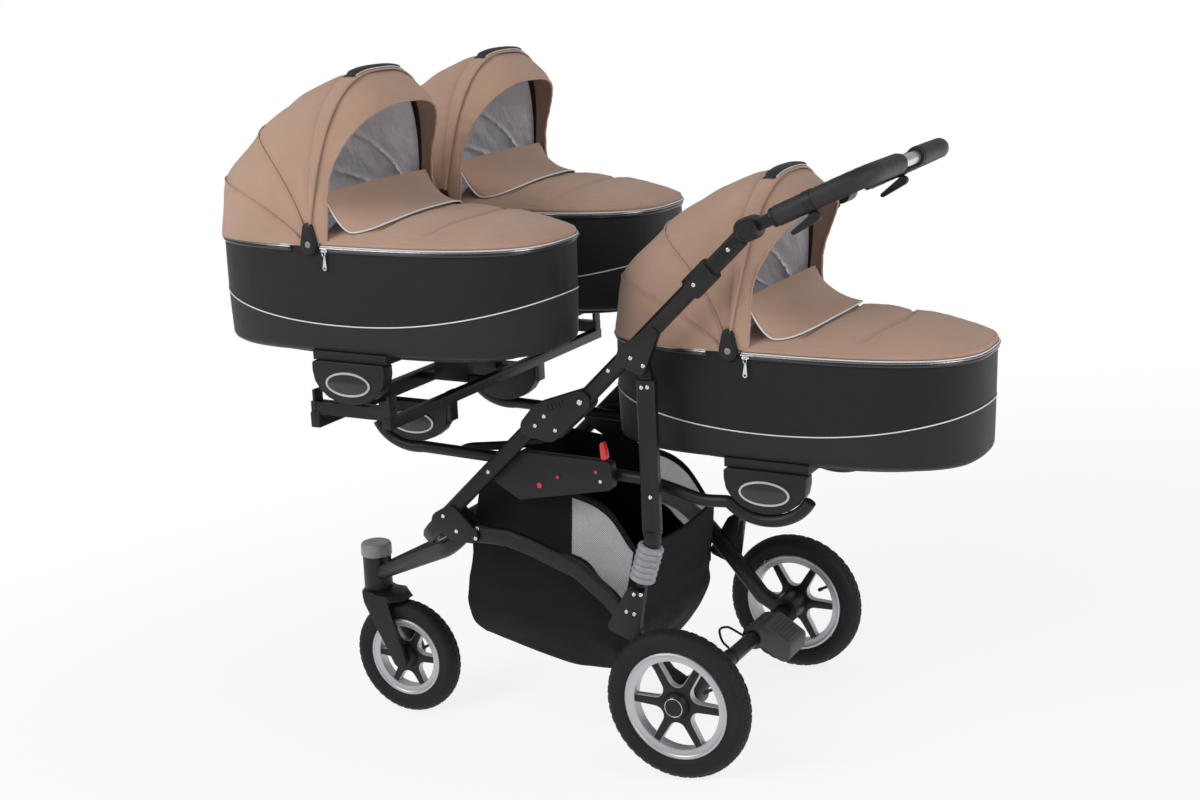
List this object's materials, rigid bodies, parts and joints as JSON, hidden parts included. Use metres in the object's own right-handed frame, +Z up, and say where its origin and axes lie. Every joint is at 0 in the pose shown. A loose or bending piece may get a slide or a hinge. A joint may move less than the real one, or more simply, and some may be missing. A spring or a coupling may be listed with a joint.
{
  "type": "triple pram",
  "caption": "Folding pram chassis on wheels with a pair of carrycots in front and one behind, each with a hood, zipped apron and wind flap",
  "frame": {"origin": "on the ground under the middle of the whole pram", "axes": "+Z up; the pram travels towards -Y, the handle is at +Y; +X is the pram's left side"},
  "size_m": [0.8734, 1.5694, 1.4304],
  "materials": {
    "cover": "black coated cloth",
    "hood_cloth": "taupe cloth",
    "lining": "silver grey lining",
    "leather": "black grained leather",
    "frame": "black powder coat",
    "plastic": "black moulded",
    "red": "red moulded",
    "rim": "silver painted",
    "tyre": "black rubber",
    "bellows": "translucent grey",
    "bare_tube": "bare satin tube",
    "basket_cloth": "black cloth"
  },
  "bodies": {
    "frame": {"front_frame_tube": "frame", "front_arm": "frame", "basket": "basket_cloth", "left_hinge_plate": "plastic", "right_hinge_plate": "plastic"},
    "push_frame": {"left_push_arm": "frame", "right_push_arm": "frame"},
    "handle": {"handle_bar": "bare_tube", "left_handle_grip": "leather", "right_handle_grip": "leather"},
    "left_handle_lever": {"left_handle_lever": "plastic"},
    "right_handle_lever": {"right_handle_lever": "plastic"},
    "rails": {"left_rail": "frame", "right_rail": "frame", "cross_brace": "frame", "extension_frame": "frame", "left_side_plate": "plastic", "right_side_plate": "plastic", "left_rear_receiver": "plastic", "right_rear_receiver": "plastic", "left_rail_receiver": "plastic", "right_rail_receiver": "plastic", "left_front_receiver": "plastic", "right_front_receiver": "plastic"},
    "left_fold_lever": {"left_fold_lever": "red"},
    "right_fold_lever": {"right_fold_lever": "red"},
    "rear_legs": {"left_rear_leg": "frame", "right_rear_leg": "frame", "rear_axle": "frame", "brake_cable": "plastic"},
    "brake_pedal": {"brake_pedal": "plastic"},
    "struts": {"left_strut": "frame", "right_strut": "frame", "left_strut_bellows": "bellows", "right_strut_bellows": "bellows"},
    "front_fork": {"front_fork": "plastic"},
    "front_wheel": {"front_wheel_tyre": "tyre", "front_wheel_rim": "rim"},
    "left_wheel": {"left_wheel_tyre": "tyre", "left_wheel_rim": "rim"},
    "right_wheel": {"right_wheel_tyre": "tyre", "right_wheel_rim": "rim"},
    "left_cot": {"left_cot_tub": "cover", "left_cot_mattress": "lining", "left_cot_apron": "hood_cloth", "left_cot_wind_flap": "hood_cloth", "left_cot_hood": "hood_cloth"},
    "left_cot_bow": {"left_cot_bow": "leather"},
    "right_cot": {"right_cot_tub": "cover", "right_cot_mattress": "lining", "right_cot_apron": "hood_cloth", "right_cot_wind_flap": "hood_cloth", "right_cot_hood": "hood_cloth"},
    "right_cot_bow": {"right_cot_bow": "leather"},
    "rear_cot": {"rear_cot_tub": "cover", "rear_cot_mattress": "lining", "rear_cot_apron": "hood_cloth", "rear_cot_wind_flap": "hood_cloth", "rear_cot_hood": "hood_cloth"},
    "rear_cot_bow": {"rear_cot_bow": "leather"}
  },
  "joints": [
    {"name": "frame_fold", "type": "hinge", "parent": "frame", "child": "push_frame", "pos_m": [0, 0.05279, 0.73707], "axis": [1, 0, 0], "range_deg": [0, 10]},
    {"name": "rail_fold", "type": "hinge", "parent": "frame", "child": "rails", "pos_m": [0, -0.19404, 0.60616], "axis": [1, 0, 0], "range_deg": [0, 3.63]},
    {"name": "leg_fold", "type": "hinge", "parent": "frame", "child": "rear_legs", "pos_m": [0, -0.25286, 0.48065], "axis": [1, 0, 0], "range_deg": [0, 3.28]},
    {"name": "strut_fold", "type": "hinge", "parent": "push_frame", "child": "struts", "pos_m": [0, 0.18906, 0.79397], "axis": [1, 0, 0], "range_deg": [-6.89, 0]},
    {"name": "handle_tilt", "type": "hinge", "parent": "push_frame", "child": "handle", "pos_m": [0, 0.45143, 1.02568], "axis": [1, 0, 0], "range_deg": [-25, 20]},
    {"name": "left_lever_squeeze", "type": "hinge", "parent": "handle", "child": "left_handle_lever", "pos_m": [0.235, 0.57944, 1.0328], "axis": [1, 0, 0], "range_deg": [-10, 0], "stiffness_Nm_per_rad": 0.6, "springref_deg": 5.73},
    {"name": "right_lever_squeeze", "type": "hinge", "parent": "handle", "child": "right_handle_lever", "pos_m": [-0.235, 0.57944, 1.0328], "axis": [1, 0, 0], "range_deg": [-10, 0], "stiffness_Nm_per_rad": 0.6, "springref_deg": 5.73},
    {"name": "left_fold_release", "type": "hinge", "parent": "rails", "child": "left_fold_lever", "pos_m": [0.2128, 0.06382, 0.6183], "axis": [1, 0, 0], "range_deg": [-35, 0], "stiffness_Nm_per_rad": 0.3, "springref_deg": 5.73},
    {"name": "right_fold_release", "type": "hinge", "parent": "rails", "child": "right_fold_lever", "pos_m": [-0.2128, 0.06382, 0.6183], "axis": [1, 0, 0], "range_deg": [-35, 0], "stiffness_Nm_per_rad": 0.3, "springref_deg": 5.73},
    {"name": "brake_press", "type": "hinge", "parent": "rear_legs", "child": "brake_pedal", "pos_m": [0, 0.17963, 0.14887], "axis": [1, 0, 0], "range_deg": [-20, 0]},
    {"name": "left_wheel_spin", "type": "hinge", "parent": "rear_legs", "child": "left_wheel", "pos_m": [0.299, 0.17963, 0.14887], "axis": [1, 0, 0], "continuous": true},
    {"name": "right_wheel_spin", "type": "hinge", "parent": "rear_legs", "child": "right_wheel", "pos_m": [-0.299, 0.17963, 0.14887], "axis": [1, 0, 0], "continuous": true},
    {"name": "fork_swivel", "type": "hinge", "parent": "frame", "child": "front_fork", "pos_m": [0, -0.70042, 0.29475], "axis": [0, 0.1524, 0.9883], "continuous": true},
    {"name": "front_wheel_spin", "type": "hinge", "parent": "front_fork", "child": "front_wheel", "pos_m": [0, -0.65337, 0.13137], "axis": [1, 0, 0], "continuous": true},
    {"name": "left_cot_lift", "type": "slide", "parent": "rails", "child": "left_cot", "axis": [0, 0.1524, 0.9883], "range_m": [0, 0.12]},
    {"name": "left_hood_fold", "type": "hinge", "parent": "left_cot", "child": "left_cot_bow", "pos_m": [0.2374, -0.3675, 1.11251], "axis": [1, 0, 0], "range_deg": [0, 75], "deforming": ["left_cot_hood"]},
    {"name": "right_cot_lift", "type": "slide", "parent": "rails", "child": "right_cot", "axis": [0, 0.1524, 0.9883], "range_m": [0, 0.12]},
    {"name": "right_hood_fold", "type": "hinge", "parent": "right_cot", "child": "right_cot_bow", "pos_m": [-0.2374, -0.3675, 1.11251], "axis": [1, 0, 0], "range_deg": [0, 75], "deforming": ["right_cot_hood"]},
    {"name": "rear_cot_lift", "type": "slide", "parent": "rails", "child": "rear_cot", "axis": [0, 0.1524, 0.9883], "range_m": [0, 0.12]},
    {"name": "rear_hood_fold", "type": "hinge", "parent": "rear_cot", "child": "rear_cot_bow", "pos_m": [0, 0.35037, 0.79742], "axis": [1, 0, 0], "range_deg": [0, 75], "deforming": ["rear_cot_hood"]}
  ],
  "couplings": [
    {"joint": "rail_fold", "follows": "frame_fold", "ratio": 0.3585},
    {"joint": "leg_fold", "follows": "frame_fold", "ratio": 0.323},
    {"joint": "strut_fold", "follows": "frame_fold", "ratio": -0.684}
  ]
}
